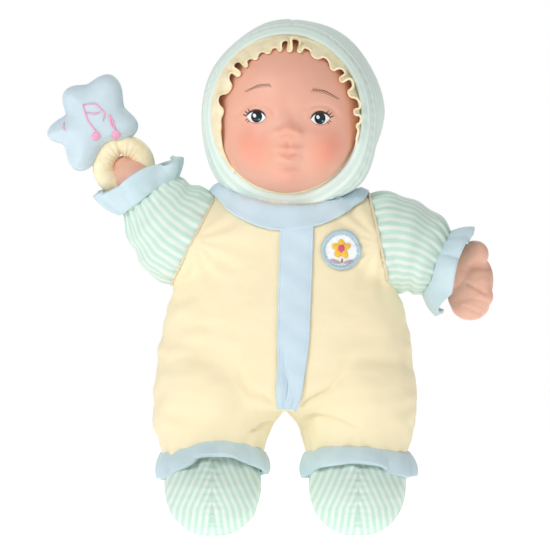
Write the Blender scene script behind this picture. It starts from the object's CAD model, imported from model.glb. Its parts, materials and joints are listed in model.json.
import json
import math

import bmesh
import bpy
import numpy as np
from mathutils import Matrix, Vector, noise
from mathutils.bvhtree import BVHTree


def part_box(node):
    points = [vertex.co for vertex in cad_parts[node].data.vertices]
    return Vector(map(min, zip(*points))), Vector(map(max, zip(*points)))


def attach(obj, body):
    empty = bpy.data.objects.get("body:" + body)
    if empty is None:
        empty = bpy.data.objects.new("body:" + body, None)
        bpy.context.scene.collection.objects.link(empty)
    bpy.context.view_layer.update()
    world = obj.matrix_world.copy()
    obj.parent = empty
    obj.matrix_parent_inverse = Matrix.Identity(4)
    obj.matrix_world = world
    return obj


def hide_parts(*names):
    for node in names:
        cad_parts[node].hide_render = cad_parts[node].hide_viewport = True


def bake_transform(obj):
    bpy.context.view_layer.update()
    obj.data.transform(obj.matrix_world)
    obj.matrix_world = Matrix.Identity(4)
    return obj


# A soft-bodied baby doll. Lengths in this file are millimetres from the doll's midline,
# and metre() puts them in the frame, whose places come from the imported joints.
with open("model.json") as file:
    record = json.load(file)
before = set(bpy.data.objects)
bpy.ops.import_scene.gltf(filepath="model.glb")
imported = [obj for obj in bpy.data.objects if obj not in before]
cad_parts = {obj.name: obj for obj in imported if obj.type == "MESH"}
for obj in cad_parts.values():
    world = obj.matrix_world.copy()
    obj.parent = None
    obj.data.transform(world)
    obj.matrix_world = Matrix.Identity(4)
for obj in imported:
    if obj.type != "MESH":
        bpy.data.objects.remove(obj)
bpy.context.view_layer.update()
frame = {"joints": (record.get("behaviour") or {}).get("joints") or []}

MM = 0.001
JOINTS = {joint["name"]: joint for joint in frame["joints"]}
HIPS = [np.array(JOINTS[f"hip_swing_{side}"]["pos_m"]) for side in ("right", "left")]
MIDLINE = np.array([(HIPS[0][0] + HIPS[1][0]) / 2, HIPS[0][1], 0.0])
SIDES = {"right": -1, "left": 1}


def metre(point):
    """A point in millimetres from the midline, as metres in the row frame."""
    return MIDLINE + np.asarray(point, float) * MM


def place_of(joint):
    """A joint's place in millimetres from the midline."""
    return (np.array(JOINTS[joint]["pos_m"]) - MIDLINE) / MM


HEAD = place_of("head_turn")
SHOULDER = {side: place_of(f"arm_swing_{side}") for side in SIDES}
ARMHOLE_AXIS = {side: np.array(JOINTS[f"arm_swing_{side}"]["axis"]) for side in SIDES}
ARM_AXIS = {side: np.array(JOINTS[f"hand_twist_{side}"]["axis"]) for side in SIDES}
RING_CENTRE = place_of("rattle_turn")
STAR_LOW, STAR_HIGH = [(np.array(c) - MIDLINE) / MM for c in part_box("rattle_capsule")]
STAR_CENTRE = (STAR_LOW + STAR_HIGH) / 2


# ---------------------------------------------------------------- materials

def srgb(red, green, blue):
    """A linear colour from 8-bit sRGB values."""
    linear = []
    for value in (red, green, blue):
        share = value / 255
        linear.append(share / 12.92 if share <= 0.04045 else ((share + 0.055) / 1.055) ** 2.4)
    return (*linear, 1.0)


class Material:
    """A node material built step by step."""

    def __init__(self, name, roughness=0.9, sheen=0.0, specular=0.3):
        self.material = bpy.data.materials.new(name)
        self.material.use_nodes = True
        self.nodes = self.material.node_tree.nodes
        self.links = self.material.node_tree.links
        self.shader = self.nodes["Principled BSDF"]
        self.shader.inputs["Roughness"].default_value = roughness
        self.shader.inputs["Specular IOR Level"].default_value = specular
        self.shader.inputs["Sheen Weight"].default_value = sheen
        self.shader.inputs["Sheen Roughness"].default_value = 0.45
        self.place = self.nodes.new("ShaderNodeTexCoord").outputs["Object"]
        self.normal = None

    def node(self, kind, **inputs):
        made = self.nodes.new(kind)
        for key, value in inputs.items():
            self.plug(made.inputs[key.replace("_", " ")], value)
        return made

    def plug(self, socket, value):
        if isinstance(value, bpy.types.NodeSocket):
            self.links.new(value, socket)
        else:
            socket.default_value = value

    def math(self, operation, first, second=0.0, clamp=False):
        made = self.nodes.new("ShaderNodeMath")
        made.operation = operation
        made.use_clamp = clamp
        self.plug(made.inputs[0], first)
        self.plug(made.inputs[1], second)
        return made.outputs[0]

    def noise(self, size_mm, detail=3.0, roughness=0.55):
        made = self.node("ShaderNodeTexNoise", Vector=self.place, Scale=1 / (size_mm * MM))
        made.inputs["Detail"].default_value = detail
        made.inputs["Roughness"].default_value = roughness
        return made.outputs["Fac"]

    def spread(self, value, low, high, to_low=0.0, to_high=1.0):
        made = self.nodes.new("ShaderNodeMapRange")
        made.interpolation_type = "SMOOTHSTEP"
        for key, number in zip(("Value", "From Min", "From Max", "To Min", "To Max"),
                               (value, low, high, to_low, to_high)):
            self.plug(made.inputs[key], number)
        return made.outputs["Result"]

    def mix(self, share, first, second, blend="MIX"):
        made = self.nodes.new("ShaderNodeMix")
        made.data_type = "RGBA"
        made.blend_type = blend
        self.plug(made.inputs["Factor"], share)
        self.plug(made.inputs[6], first)
        self.plug(made.inputs[7], second)
        return made.outputs[2]

    def attribute(self, name):
        made = self.nodes.new("ShaderNodeAttribute")
        made.attribute_name = name
        return made.outputs["Fac"]

    def near(self, centre_mm, radius_mm):
        """1 at a place on the object, falling to 0 at a distance from it."""
        made = self.nodes.new("ShaderNodeVectorMath")
        made.operation = "DISTANCE"
        self.plug(made.inputs[0], self.place)
        made.inputs[1].default_value = tuple(metre(centre_mm))
        return self.spread(made.outputs["Value"], 0.0, radius_mm * MM, 1.0, 0.0)

    def bump(self, height, depth_mm, strength=0.6):
        made = self.node("ShaderNodeBump", Height=height, Strength=strength, Distance=depth_mm * MM)
        if self.normal is not None:
            self.links.new(self.normal, made.inputs["Normal"])
        self.normal = made.outputs["Normal"]
        self.links.new(self.normal, self.shader.inputs["Normal"])

    def colour(self, value):
        self.plug(self.shader.inputs["Base Color"], value)

    def rough(self, value):
        self.plug(self.shader.inputs["Roughness"], value)


def knit_bump(material, size_mm=0.55, depth_mm=0.12):
    """The fine loops of a brushed knit, with the soft unevenness of its nap."""
    cells = material.nodes.new("ShaderNodeTexVoronoi")
    material.plug(cells.inputs["Vector"], material.place)
    cells.inputs["Scale"].default_value = 1 / (size_mm * MM)
    material.bump(cells.outputs["Distance"], depth_mm, 0.5)
    material.bump(material.noise(size_mm * 3), depth_mm * 1.5, 0.35)


def fleece(name, light, shade, nap_mm=22.0, sheen=0.3):
    """Brushed fleece: a soft nap that lies lighter and darker in patches."""
    made = Material(name, roughness=0.92, sheen=sheen, specular=0.15)
    patches = made.spread(made.noise(nap_mm, 2.0), 0.25, 0.75)
    fibres = made.spread(made.noise(0.7, 4.0), 0.25, 0.75)
    base = made.mix(patches, shade, light)
    deeper = made.mix(0.16, base, shade)
    made.colour(made.mix(fibres, deeper, base))
    made.rough(made.spread(fibres, 0.0, 1.0, 0.86, 0.97))
    knit_bump(made)
    return made.material


def striped_velour(name, mint, white, share=0.52):
    """Velour with soft-edged printed stripes, counted by the mesh's stripe attribute."""
    made = Material(name, roughness=0.9, sheen=0.3, specular=0.15)
    wobble = made.math("MULTIPLY", made.math("SUBTRACT", made.noise(4.0, 2.0), 0.5), 0.16)
    count = made.math("ADD", made.attribute("stripe"), wobble)
    place = made.math("ABSOLUTE", made.math("SUBTRACT", made.math("FRACT", count), 0.5))
    stripe = made.spread(place, 0.25 - 0.12 + (0.5 - share) / 2, 0.25 + 0.12 + (0.5 - share) / 2)
    fibres = made.spread(made.noise(0.6, 4.0), 0.2, 0.8)
    pale = made.mix(0.12, white, mint)
    plain = made.mix(stripe, pale, mint)
    worn = made.mix(0.22, plain, white)
    made.colour(made.mix(fibres, plain, worn))
    made.rough(made.spread(fibres, 0.0, 1.0, 0.84, 0.96))
    knit_bump(made, 0.5, 0.1)
    made.bump(stripe, 0.12, 0.25)
    return made.material


def satin(name, light, shade):
    """Soft satin: a smooth weave with a broad sheen and faint drawn threads."""
    made = Material(name, roughness=0.5, sheen=0.25, specular=0.35)
    folds = made.spread(made.noise(5.0, 2.0), 0.3, 0.7)
    threads = made.noise(0.35, 2.0)
    made.colour(made.mix(folds, shade, light))
    made.rough(made.spread(threads, 0.2, 0.8, 0.42, 0.62))
    made.bump(threads, 0.06, 0.4)
    made.bump(made.noise(2.4, 3.0), 0.25, 0.3)
    return made.material


def vinyl(name, skin, cheeks=()):
    """Soft rotocast vinyl with sprayed blush and a faint orange-peel skin."""
    made = Material(name, roughness=0.42, specular=0.4)
    made.shader.inputs["Subsurface Weight"].default_value = 0.25
    made.shader.inputs["Subsurface Radius"].default_value = (0.006, 0.0025, 0.0015)
    made.shader.inputs["Subsurface Scale"].default_value = 0.5
    mottled = made.spread(made.noise(14.0, 2.0), 0.3, 0.7)
    colour = made.mix(mottled, skin, made.mix(0.35, skin, BLUSH_PALE))
    for centre, radius, blush, weight in cheeks:
        share = made.math("MULTIPLY", made.near(centre, radius), weight)
        colour = made.mix(share, colour, blush)
    made.colour(colour)
    made.rough(made.spread(made.noise(3.0), 0.3, 0.7, 0.38, 0.5))
    made.bump(made.noise(0.9, 2.0), 0.03, 0.35)
    return made.material


def paint(name, colour, second, size_mm=0.8, roughness=0.3):
    """Tampo-printed paint, very slightly uneven."""
    made = Material(name, roughness=roughness, specular=0.4)
    made.colour(made.mix(made.noise(size_mm, 3.0), colour, second))
    made.bump(made.noise(0.5), 0.01, 0.3)
    return made.material


def iris_paint(name, centre, radius, rim, inner, glow):
    """A painted iris: a black rim, dark middle and a lighter crescent at the lower inside."""
    made = Material(name, roughness=0.3, specular=0.25)
    made.shader.inputs["Coat Weight"].default_value = 0.12
    middle = made.near(centre, radius)
    crescent = made.near((centre[0] + 1.6, centre[1], centre[2] - 1.9), radius * 0.62)
    streaks = made.spread(made.noise(0.8, 4.0), 0.3, 0.7)
    colour = made.mix(middle, rim, inner)
    lit = made.mix(made.math("MULTIPLY", crescent, 0.7), colour, glow)
    made.colour(made.mix(made.math("MULTIPLY", streaks, 0.12), lit, rim))
    return made.material


def thread(name, light, shade, size_mm=0.5):
    """Satin-stitched or twisted thread with a fine slanting grain."""
    made = Material(name, roughness=0.55, sheen=0.3, specular=0.35)
    waves = made.nodes.new("ShaderNodeTexWave")
    waves.bands_direction = "DIAGONAL"
    made.plug(waves.inputs["Vector"], made.place)
    waves.inputs["Scale"].default_value = 0.32 / (size_mm * MM)
    waves.inputs["Distortion"].default_value = 1.2
    made.colour(made.mix(waves.outputs["Fac"], shade, light))
    made.rough(made.spread(waves.outputs["Fac"], 0.0, 1.0, 0.62, 0.45))
    made.bump(waves.outputs["Fac"], 0.15, 0.6)
    return made.material


def moulded(name, colour, roughness=0.45, grain_mm=0.6):
    """Injection-moulded plastic with a fine spark-eroded texture."""
    made = Material(name, roughness=roughness, specular=0.5)
    tone = made.spread(made.noise(9.0, 2.0), 0.3, 0.7)
    darker = tuple(c * 0.86 for c in colour[:3]) + (1.0,)
    made.colour(made.mix(tone, darker, colour))
    made.rough(made.spread(made.noise(grain_mm), 0.3, 0.7, roughness - 0.08, roughness + 0.08))
    made.bump(made.noise(grain_mm, 2.0), 0.03, 0.4)
    return made.material


def plated(name, colour, roughness=0.28):
    """Plated steel with fine drawn streaks."""
    made = Material(name, roughness=roughness, specular=0.5)
    made.shader.inputs["Metallic"].default_value = 1.0
    streaks = made.noise(0.5, 4.0)
    darker = tuple(c * 0.75 for c in colour[:3]) + (1.0,)
    made.colour(made.mix(made.spread(streaks, 0.3, 0.7), darker, colour))
    made.rough(made.spread(streaks, 0.2, 0.8, roughness - 0.08, roughness + 0.14))
    made.bump(streaks, 0.02, 0.3)
    return made.material


CREAM = srgb(245, 232, 196)
CREAM_SHADE = srgb(244, 230, 192)
BLUE = srgb(206, 224, 234)
BLUE_SHADE = srgb(196, 217, 229)
MINT = srgb(190, 223, 208)
OFF_WHITE = srgb(229, 236, 229)
SATIN_LIGHT = srgb(250, 238, 205)
SATIN_SHADE = srgb(244, 228, 184)
STAR_BLUE = srgb(208, 224, 232)
STAR_SHADE = srgb(200, 218, 227)
SKIN = srgb(232, 174, 152)
BLUSH_PALE = srgb(236, 184, 162)
BLUSH = srgb(238, 142, 118)
PINK = srgb(252, 184, 214)

MATERIALS = {
    "cream": fleece("romper_fleece", CREAM, CREAM_SHADE),
    "blue": fleece("blue_fleece", BLUE, BLUE_SHADE),
    "frill": fleece("frill_fleece", srgb(206, 226, 233), srgb(192, 214, 221)),
    "light_seam": thread("light_seam_thread", srgb(226, 238, 230), srgb(206, 224, 214), 0.7),
    "stripe": striped_velour("striped_velour", MINT, OFF_WHITE),
    "hood": striped_velour("hood_velour", srgb(208, 231, 220), srgb(232, 240, 235)),
    "satin": satin("yellow_satin", SATIN_LIGHT, SATIN_SHADE),
    "star": fleece("star_plush", STAR_BLUE, STAR_SHADE, 14.0, 0.35),
    "patch": fleece("patch_twill", srgb(250, 250, 248), srgb(236, 238, 238), 2.0, 0.1),
    "border": thread("border_thread", srgb(196, 220, 232), srgb(160, 190, 208)),
    "seam": thread("seam_thread", srgb(236, 228, 200), srgb(206, 196, 166), 0.7),
    "mint_seam": thread("mint_seam_thread", srgb(206, 224, 214), srgb(170, 196, 184), 0.7),
    "pink": thread("pink_embroidery", PINK, srgb(246, 158, 196)),
    "yellow": thread("yellow_embroidery", srgb(255, 214, 74), srgb(232, 176, 40)),
    "brown": thread("brown_embroidery", srgb(176, 112, 72), srgb(128, 76, 46)),
    "mauve": thread("mauve_embroidery", srgb(206, 186, 196), srgb(176, 152, 168)),
    "rose": thread("rose_embroidery", srgb(238, 104, 150), srgb(206, 66, 116)),
    "tape": fleece("hook_and_loop", srgb(240, 236, 224), srgb(214, 208, 194), 1.5, 0.2),
    "stuffing": fleece("fibrefill", srgb(246, 246, 244), srgb(226, 226, 224), 6.0, 0.5),
}
FACE = np.array([1.6, -14.5, 266.3])
CHEEKS = (
    ((-20, -48, 246), 19.0, BLUSH, 0.62),
    ((26, -47, 244), 19.0, BLUSH, 0.66),
    ((2, -57, 257), 8.0, BLUSH, 0.30),
    ((1, -52, 243), 8.5, srgb(238, 142, 124), 0.34),
    ((2, -40, 228), 14.0, BLUSH, 0.22),
)
MATERIALS["face"] = vinyl("vinyl_face", SKIN, CHEEKS)
MATERIALS["hand"] = vinyl("vinyl_hand", srgb(232, 184, 162))


# ---------------------------------------------------------------- meshes

def make_object(name, points, faces, material, smooth=True):
    """A mesh object from points in millimetres."""
    mesh = bpy.data.meshes.new(name)
    mesh.from_pydata((MIDLINE + np.asarray(points, float) * MM).tolist(), [], faces)
    mesh.validate()
    mesh.polygons.foreach_set("use_smooth", [smooth] * len(mesh.polygons))
    mesh.materials.append(MATERIALS[material])
    made = bpy.data.objects.new(name, mesh)
    bpy.context.scene.collection.objects.link(made)
    return made


def grid_faces(rows, columns, wrap_rows=False, wrap_columns=False):
    faces = []
    for i in range(rows if wrap_rows else rows - 1):
        for j in range(columns if wrap_columns else columns - 1):
            k = (i + 1) % rows
            m = (j + 1) % columns
            faces.append((i * columns + j, i * columns + m, k * columns + m, k * columns + j))
    return faces


def fix_normals(made):
    work = bmesh.new()
    work.from_mesh(made.data)
    bmesh.ops.recalc_face_normals(work, faces=work.faces)
    work.to_mesh(made.data)
    work.free()


def make_grid(name, grid, material, wrap_rows=False, wrap_columns=False, caps=False):
    """A surface from a rows x columns x 3 array of points."""
    rows, columns = grid.shape[:2]
    points = grid.reshape(-1, 3)
    faces = grid_faces(rows, columns, wrap_rows, wrap_columns)
    if caps:
        last = (rows - 1) * columns
        middle = [grid[0].mean(0), grid[-1].mean(0)]
        points = np.vstack([points, middle])
        first_cap, last_cap = len(points) - 2, len(points) - 1
        for j in range(columns):
            m = (j + 1) % columns
            faces.append((first_cap, m, j))
            faces.append((last_cap, last + j, last + m))
    made = make_object(name, points, faces, material)
    fix_normals(made)
    return made


def give(made, name, values):
    """Stores a number on each point, for the materials."""
    attribute = made.data.attributes.new(name, "FLOAT", "POINT")
    attribute.data.foreach_set("value", np.asarray(values, np.float32).ravel())


def points_of(made):
    """The mesh's points in millimetres from the midline."""
    flat = np.zeros(len(made.data.vertices) * 3)
    made.data.vertices.foreach_get("co", flat)
    return (flat.reshape(-1, 3) - MIDLINE) / MM


def set_points(made, points):
    made.data.vertices.foreach_set("co", (MIDLINE + points * MM).ravel())
    made.data.update()


def normals_of(made):
    flat = np.zeros(len(made.data.vertices) * 3)
    made.data.vertices.foreach_get("normal", flat)
    return flat.reshape(-1, 3)


def apply_modifiers(made):
    bpy.context.view_layer.update()
    evaluated = made.evaluated_get(bpy.context.evaluated_depsgraph_get())
    mesh = bpy.data.meshes.new_from_object(evaluated)
    made.modifiers.clear()
    made.data = mesh
    mesh.polygons.foreach_set("use_smooth", [True] * len(mesh.polygons))


def thicken(made, thickness_mm, offset=1.0):
    """Gives an open sheet its thickness and rounds its edges."""
    solid = made.modifiers.new("thickness", "SOLIDIFY")
    solid.thickness = thickness_mm * MM
    solid.offset = offset
    smooth = made.modifiers.new("round", "SUBSURF")
    smooth.levels = 1
    smooth.render_levels = 1
    apply_modifiers(made)


def soften(made, rounds):
    relax = made.modifiers.new("relax", "SMOOTH")
    relax.factor = 0.4
    relax.iterations = rounds
    apply_modifiers(made)


def remesh(made, voxel_mm, smoothing=8):
    """Melts overlapping forms into one skin."""
    melt = made.modifiers.new("melt", "REMESH")
    melt.mode = "VOXEL"
    melt.voxel_size = voxel_mm * MM
    melt.use_smooth_shade = True
    relax = made.modifiers.new("relax", "SMOOTH")
    relax.factor = 0.5
    relax.iterations = smoothing
    apply_modifiers(made)


def join(parts, name):
    """One object from several, keeping the first one's material."""
    work = bmesh.new()
    for part in parts:
        work.from_mesh(part.data)
    mesh = bpy.data.meshes.new(name)
    work.to_mesh(mesh)
    work.free()
    mesh.materials.append(parts[0].data.materials[0])
    made = bpy.data.objects.new(name, mesh)
    bpy.context.scene.collection.objects.link(made)
    for part in parts:
        bpy.data.objects.remove(part)
    return made


def cut(made, point, outward):
    """Keeps what lies behind a plane."""
    work = bmesh.new()
    work.from_mesh(made.data)
    geometry = work.verts[:] + work.edges[:] + work.faces[:]
    bmesh.ops.bisect_plane(
        work, geom=geometry, plane_co=metre(point), plane_no=np.asarray(outward, float), clear_outer=True
    )
    work.to_mesh(made.data)
    work.free()


def ellipsoid(centre, radii, material="hand", turn=0.0, steps=24):
    """A closed egg shape, turned about the front-to-back axis by degrees."""
    polar = np.linspace(0.04, math.pi - 0.04, steps)
    around = circle(2 * steps)
    p, a = np.meshgrid(polar, around, indexing="ij")
    grid = np.stack([np.sin(p) * np.cos(a), np.sin(p) * np.sin(a), np.cos(p)], -1) * np.asarray(radii, float)
    angle = math.radians(turn)
    x = grid[..., 0] * math.cos(angle) - grid[..., 2] * math.sin(angle)
    z = grid[..., 0] * math.sin(angle) + grid[..., 2] * math.cos(angle)
    grid = np.stack([x, grid[..., 1], z], -1) + np.asarray(centre, float)
    return make_grid("egg", grid, material, wrap_columns=True, caps=True)


def wave_noise(points, size_mm, seed=0.0):
    """Smooth noise between -1 and 1 at each point."""
    shift = Vector((seed, seed * 1.7, -seed))
    return np.array([noise.noise(Vector(p / size_mm) + shift) for p in points])


def bell(value, place, width):
    """1 at a place, falling smoothly to 0 within about two widths."""
    return np.exp(-(((value - place) / width) ** 2))


def circle(count):
    """Evenly spaced angles round a full turn."""
    return np.linspace(0, 2 * math.pi, count, endpoint=False)


def as_points(x, y, z):
    """An array of points from three coordinates, any of which may be one number."""
    return np.stack(np.broadcast_arrays(x, y, z), -1).astype(float)


def spokes_of(first, second, angles):
    """Unit steps away from an axis, given two directions across it."""
    return np.sin(angles)[:, None] * first + np.cos(angles)[:, None] * second


def smooth_step(value, low, high):
    """0 below low, 1 above high and smooth between."""
    share = np.clip((value - low) / (high - low), 0, 1)
    return share * share * (3 - 2 * share)


def ring_frame(axis):
    """Two directions that span the plane across an axis in the frontal plane."""
    front = np.array([0.0, -1.0, 0.0])
    side = np.cross(axis, front)
    return front, side / np.linalg.norm(side)


class Surface:
    """Where rays meet a piece, for what is sewn or painted on it."""

    def __init__(self, made):
        work = bmesh.new()
        work.from_mesh(made.data)
        self.tree = BVHTree.FromBMesh(work)
        work.free()

    def ray(self, start, direction):
        hit, normal, _, _ = self.tree.ray_cast(Vector(metre(start)), Vector(direction))
        if hit is None:
            return None, None
        return (np.array(hit) - MIDLINE) / MM, np.array(normal)

    def front(self, x, z, lift=0.0, back=False):
        sign = -1 if back else 1
        hit, normal = self.ray((x, -150 * sign, z), (0, sign, 0))
        if hit is None:
            return None
        if normal[1] * sign > 0:
            normal = -normal
        return hit + normal * lift


def sewn_disc(name, surface, centre, radii, lift, material, dome=0.0, turn=0.0, shape=None, inner=0.0):
    """A patch that follows a surface: an ellipse, or any outline given as a radius by angle."""
    rings, sectors = 12, 56
    angle = math.radians(turn)
    rows = []
    for share in np.linspace(inner, 1.0, rings):
        row = []
        for around in circle(sectors):
            reach = share * (shape(around) if shape else 1.0)
            u = radii[0] * reach * math.cos(around)
            v = radii[1] * reach * math.sin(around)
            x = centre[0] + u * math.cos(angle) - v * math.sin(angle)
            z = centre[1] + u * math.sin(angle) + v * math.cos(angle)
            across = (2 * (share - inner) / (1 - inner) - 1) if inner else share
            height = lift + dome * math.sqrt(max(0.0, 1 - across**2))
            point = surface.front(x, z, height)
            row.append(point if point is not None else (x, 0.0, z))
        rows.append(row)
    return make_grid(name, np.array(rows, float), material, wrap_columns=True)


def sewn_stroke(name, surface, path, width, lift, material, height=0.0, taper=True):
    """A raised line of thread or paint along a path of (x, z) points on a surface."""
    path = np.asarray(path, float)
    steps = np.linspace(0, len(path) - 1, 8 * len(path))
    xs = np.interp(steps, range(len(path)), path[:, 0])
    zs = np.interp(steps, range(len(path)), path[:, 1])
    kernel = np.ones(5) / 5
    xs = np.concatenate([xs[:2], np.convolve(xs, kernel, "valid"), xs[-2:]])
    zs = np.concatenate([zs[:2], np.convolve(zs, kernel, "valid"), zs[-2:]])
    dx, dz = np.gradient(xs), np.gradient(zs)
    length = np.hypot(dx, dz) + 1e-9
    rows = []
    for i in range(len(xs)):
        along = i / (len(xs) - 1)
        half = width / 2 * (math.sin(math.pi * min(max(along, 0.04), 0.96)) ** 0.5 if taper else 1.0)
        row = []
        for side in np.linspace(-1, 1, 7):
            x = xs[i] - dz[i] / length[i] * side * half
            z = zs[i] + dx[i] / length[i] * side * half
            point = surface.front(x, z, lift + height * math.sqrt(max(0.0, 1 - side**2)))
            row.append(point if point is not None else (x, 0.0, z))
        rows.append(row)
    return make_grid(name, np.array(rows, float), material)


def cord_tube(name, path, radius, material, closed=False, sides=8):
    """A round bead or seam along a path."""
    path = np.asarray(path, float)
    count = len(path)
    tangent = np.gradient(path, axis=0) if not closed else np.roll(path, -1, 0) - np.roll(path, 1, 0)
    tangent /= np.linalg.norm(tangent, axis=1)[:, None] + 1e-12
    reference = np.array([0.0, 1.0, 0.0])
    if abs(tangent @ reference).max() > 0.9:
        reference = path.mean(0) - path
        reference /= np.linalg.norm(reference, axis=1)[:, None] + 1e-12
    first = np.cross(tangent, reference)
    first /= np.linalg.norm(first, axis=1)[:, None] + 1e-12
    second = np.cross(tangent, first)
    around = circle(sides)
    spokes = first[:, None] * np.cos(around)[None, :, None] + second[:, None] * np.sin(around)[None, :, None]
    grid = path[:, None] + radius * spokes
    return make_grid(name, grid, material, wrap_rows=closed, wrap_columns=True, caps=not closed)


def clear_name(made):
    """A piece that shares its name with a CAD part is called the cloth of that part."""
    if "." in made.name:
        made.name = made.name.split(".")[0] + "_cloth"


def settle(made, body, slot, *nodes):
    """Puts a finished piece on its body, with its finish and the CAD nodes it stands for."""
    clear_name(made)
    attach(made, body)
    if nodes:
        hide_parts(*nodes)
    return made


def settle_bent(made, first, second, start, end, slot, *nodes):
    """The same for cloth that bends smoothly from one body to the next."""
    clear_name(made)
    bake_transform(made)
    if nodes:
        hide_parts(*nodes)
    return made


# ---------------------------------------------------------------- the romper

TORSO_SECTIONS = ((80, 73, 36), (86, 78, 38.5), (95, 80.5, 40.5), (116, 80.5, 42.5), (140, 75.5, 42.5),
                  (165, 66.5, 39.5), (190, 57.5, 36.5), (207, 50.5, 32.5), (221, 43.5, 27.5))
LEG_SECTIONS = ((96, 38, 34), (88, 40.5, 37.5), (80, 40.9, 37.5), (75, 38.9, 36.6), (70, 37, 35.5),
                (66, 35.8, 34.6), (60, 33.8, 32.6), (52.5, 31.2, 30), (44, 29, 28))
HIP_X = 46
FOOT_Y = {"right": -6, "left": 0}
CENTRE_SEAM = 3.0
CROTCH = (0.5, 79.0)
ARMHOLE_R = 32.0
SEAT_R = 65.0


def loft(name, sections, centre_x=0.0, power=2.35, material="cream"):
    """A closed soft form from (height, half width, half depth) sections."""
    around = circle(96)
    heights = np.array([s[0] for s in sections], float)
    order = np.argsort(heights)
    levels = np.linspace(heights.min(), heights.max(), 60)
    widths = np.interp(levels, heights[order], np.array([s[1] for s in sections])[order])
    depths = np.interp(levels, heights[order], np.array([s[2] for s in sections])[order])
    c, s = np.cos(around), np.sin(around)
    unit = np.stack([np.sign(c) * abs(c) ** (2 / power), np.sign(s) * abs(s) ** (2 / power)], -1)
    grid = np.zeros((len(levels), len(around), 3))
    grid[..., 0] = centre_x + widths[:, None] * unit[None, :, 0]
    grid[..., 1] = depths[:, None] * unit[None, :, 1]
    grid[..., 2] = levels[:, None]
    return make_grid(name, grid, material, wrap_columns=True, caps=True)


def swept(name, stations, material, sides=96, caps=True, ripple=None):
    """A tube through (centre, axis, radius, depth radius) stations in the frontal plane."""
    rows = []
    for row, (centre, axis, radius, depth) in enumerate(stations):
        axis = np.asarray(axis, float) / np.linalg.norm(axis)
        front, side = ring_frame(axis)
        around = circle(sides)
        extra = ripple(row, around) if ripple is not None else 0.0
        reach = 1 + extra / radius
        rows.append(
            np.asarray(centre, float)
            + (reach * radius * np.cos(around))[:, None] * side
            + (reach * depth * np.sin(around))[:, None] * front
        )
    return make_grid(name, np.array(rows), material, wrap_columns=True, caps=caps)


def build_romper():
    """The body with both legs, one soft skin, sewn in two halves down the middle."""
    out = {side: ARMHOLE_AXIS[side] * np.sign(ARMHOLE_AXIS[side][0]) * SIDES[side] for side in SIDES}
    barrel = []
    for share in np.linspace(0, 1, 25):
        centre = SHOULDER["right"] * (1 - share) + SHOULDER["left"] * share
        middle = math.sin(math.pi * share)
        level = np.array([1.0, 0, 0]) * 2 * share * (1 - share)
        axis = -out["right"] * (1 - share) ** 2 + out["left"] * share**2 + level
        barrel.append((centre, axis, ARMHOLE_R + 0.3 * middle, ARMHOLE_R + 5.3 * middle))
    parts = [loft("torso_form", TORSO_SECTIONS), swept("chest_form", barrel, "cream")]
    for side, sign in SIDES.items():
        leg = loft(f"leg_form_{side}", LEG_SECTIONS, sign * HIP_X, 2.2)
        shape = points_of(leg)
        shape[:, 0] -= sign * np.interp(shape[:, 2], (66, 70, 75, 80, 96), (0, 0.2, 2.3, 4.1, 4.6))
        shape[:, 1] += FOOT_Y[side] * np.clip((88 - shape[:, 2]) / 88, 0, 1)
        set_points(leg, shape)
        parts.append(leg)
        parts.append(ellipsoid((sign * HIP_X, 0, 90), (37.5, 42.6, 40), "cream"))
    body = join(parts, "romper")
    remesh(body, 1.7, 14)
    points = points_of(body)
    normals = normals_of(body)
    x, y, z = points.T
    waist = bell(z, 128, 34) + 0.7 * bell(z, 70, 20)
    edge = smooth_step(abs(x), 20, 70)
    drag = wave_noise(points * [1 / 2.6, 1 / 2.2, 1.0], 8.5, 3.1)
    soft = wave_noise(points, 26.0, 1.3)
    fine = wave_noise(points * [0.6, 0.6, 1.0], 5.0, 7.7)
    folds = 2.1 * drag * waist * (0.25 + 0.75 * edge) + 0.9 * soft + 0.25 * fine
    radial = np.zeros(len(points))
    for side in SIDES:
        offset = points - SHOULDER[side]
        distance = np.linalg.norm(offset, axis=1)
        angle = np.arctan2(offset[:, 2], offset[:, 0])
        radial += 0.8 * np.sin(angle * 13 + 2 * soft) * bell(distance, 38, 10)
    for sign in SIDES.values():
        ankle = np.hypot(x - sign * HIP_X, y)
        angle = np.arctan2(y, x - sign * HIP_X)
        radial += 0.9 * np.sin(angle * 15 + 3 * soft) * bell(z, 52, 9) * (ankle < 45)
    spread = points[:, [0, 2]] - np.array([1.0, 76.0])
    reach = np.hypot(spread[:, 0], spread[:, 1])
    bearing = np.arctan2(spread[:, 1], spread[:, 0]) + 0.25 * soft
    valley = bell(np.sin(3.6 * bearing + 0.5), 0, 0.24)
    radial -= 3.0 * valley * smooth_step(reach, 6, 16) * (1 - smooth_step(reach, 26, 58)) * (z > 66)
    points = points + normals * (folds + radial + 1.0)[:, None]
    seat = points - HEAD
    distance = np.linalg.norm(seat, axis=1)
    rest = SEAT_R + 3.5 * smooth_step(-points[:, 1], 8, 26)
    inside = distance < rest
    points[inside] = HEAD + seat[inside] / distance[inside, None] * rest[inside, None]
    set_points(body, points)
    soften(body, 2)
    return body


romper = build_romper()
BODY = Surface(romper)

# The back of the romper is open behind the flap, where the sound module goes in.
OPENING_X = (-24.0, 24.0)
OPENING_Z = (124.0, 180.0)


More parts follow.
